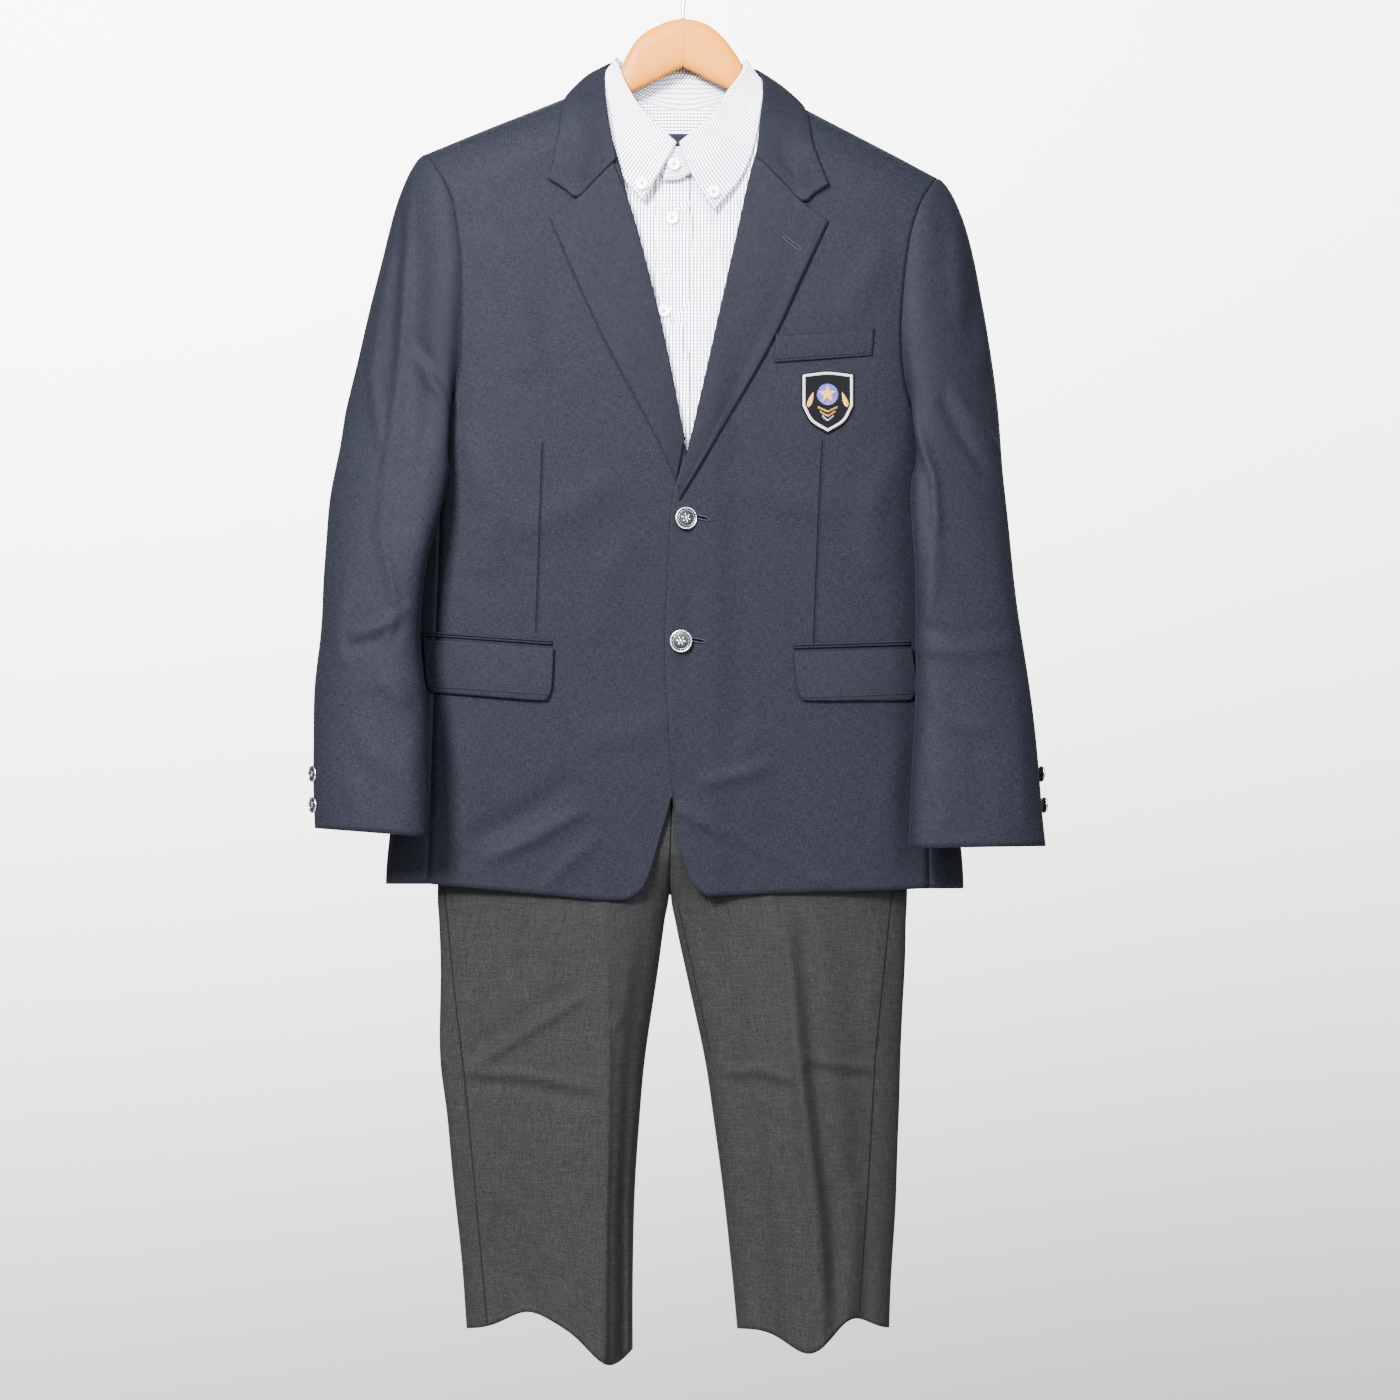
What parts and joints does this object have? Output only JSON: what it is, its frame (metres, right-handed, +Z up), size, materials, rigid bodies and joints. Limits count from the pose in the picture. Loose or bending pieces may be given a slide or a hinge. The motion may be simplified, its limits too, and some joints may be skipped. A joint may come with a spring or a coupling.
{
  "type": "school uniform on a wooden clothes hanger",
  "caption": "Single-breasted blazer over a button-down shirt and creased trousers, hung flat together on an arched wooden hanger with a wire hook.",
  "frame": {"origin": "the underside of the wire at the top of the hook's loop, where the hook bears on a rail", "axes": "+Z up, +X to the viewer's right (the wearer's left), -Y towards the viewer of the front, +Y towards the wall"},
  "size_m": [0.6463, 0.1353, 1.2665],
  "materials": {
    "navy_wool": "plain navy suiting, matt",
    "felt": "black felt",
    "silver_thread": "silver-grey satin thread",
    "gold_thread": "gold satin thread",
    "white_cotton": "white poplin with a fine graph check",
    "charcoal_wool": "charcoal suiting with a faint check",
    "beech": "clear satin lacquer",
    "steel_wire": "bright plated wire",
    "button_metal": "silver-coloured metal with a dark field",
    "pearl": "glossy off-white"
  },
  "bodies": {
    "root": {"jacket_front_left": "navy_wool", "jacket_front_right": "navy_wool", "jacket_back_left": "navy_wool", "jacket_back_right": "navy_wool", "jacket_side_left": "navy_wool", "jacket_side_right": "navy_wool", "jacket_upper_sleeve_left": "navy_wool", "jacket_upper_sleeve_right": "navy_wool", "jacket_under_sleeve_left": "navy_wool", "jacket_under_sleeve_right": "navy_wool", "jacket_lapel_left": "navy_wool", "jacket_lapel_right": "navy_wool", "jacket_collar": "navy_wool", "pocket_jet_left": "navy_wool", "pocket_jet_right": "navy_wool", "pocket_flap_left": "navy_wool", "pocket_flap_right": "navy_wool", "breast_welt": "navy_wool", "neck_label": "navy_wool", "badge_field": "felt", "badge_rim": "silver_thread", "badge_star": "gold_thread", "shirt_front_left": "white_cotton", "shirt_front_right": "white_cotton", "shirt_back": "white_cotton", "shirt_yoke": "white_cotton", "shirt_sleeve_left": "white_cotton", "shirt_sleeve_right": "white_cotton", "shirt_collar": "white_cotton", "shirt_band": "white_cotton", "shirt_placket": "white_cotton", "trouser_front_left": "charcoal_wool", "trouser_front_right": "charcoal_wool", "trouser_back_left": "charcoal_wool", "trouser_back_right": "charcoal_wool", "trouser_waistband": "charcoal_wool", "hanger_bow": "beech", "hanger_hook": "steel_wire", "front_button_upper": "button_metal", "front_button_lower": "button_metal", "sleeve_button_left_1": "button_metal", "sleeve_button_left_2": "button_metal", "sleeve_button_right_1": "button_metal", "sleeve_button_right_2": "button_metal", "shirt_button_upper": "pearl", "shirt_button_lower": "pearl", "neck_button": "pearl", "collar_button_left": "pearl", "collar_button_right": "pearl"}
  },
  "joints": []
}
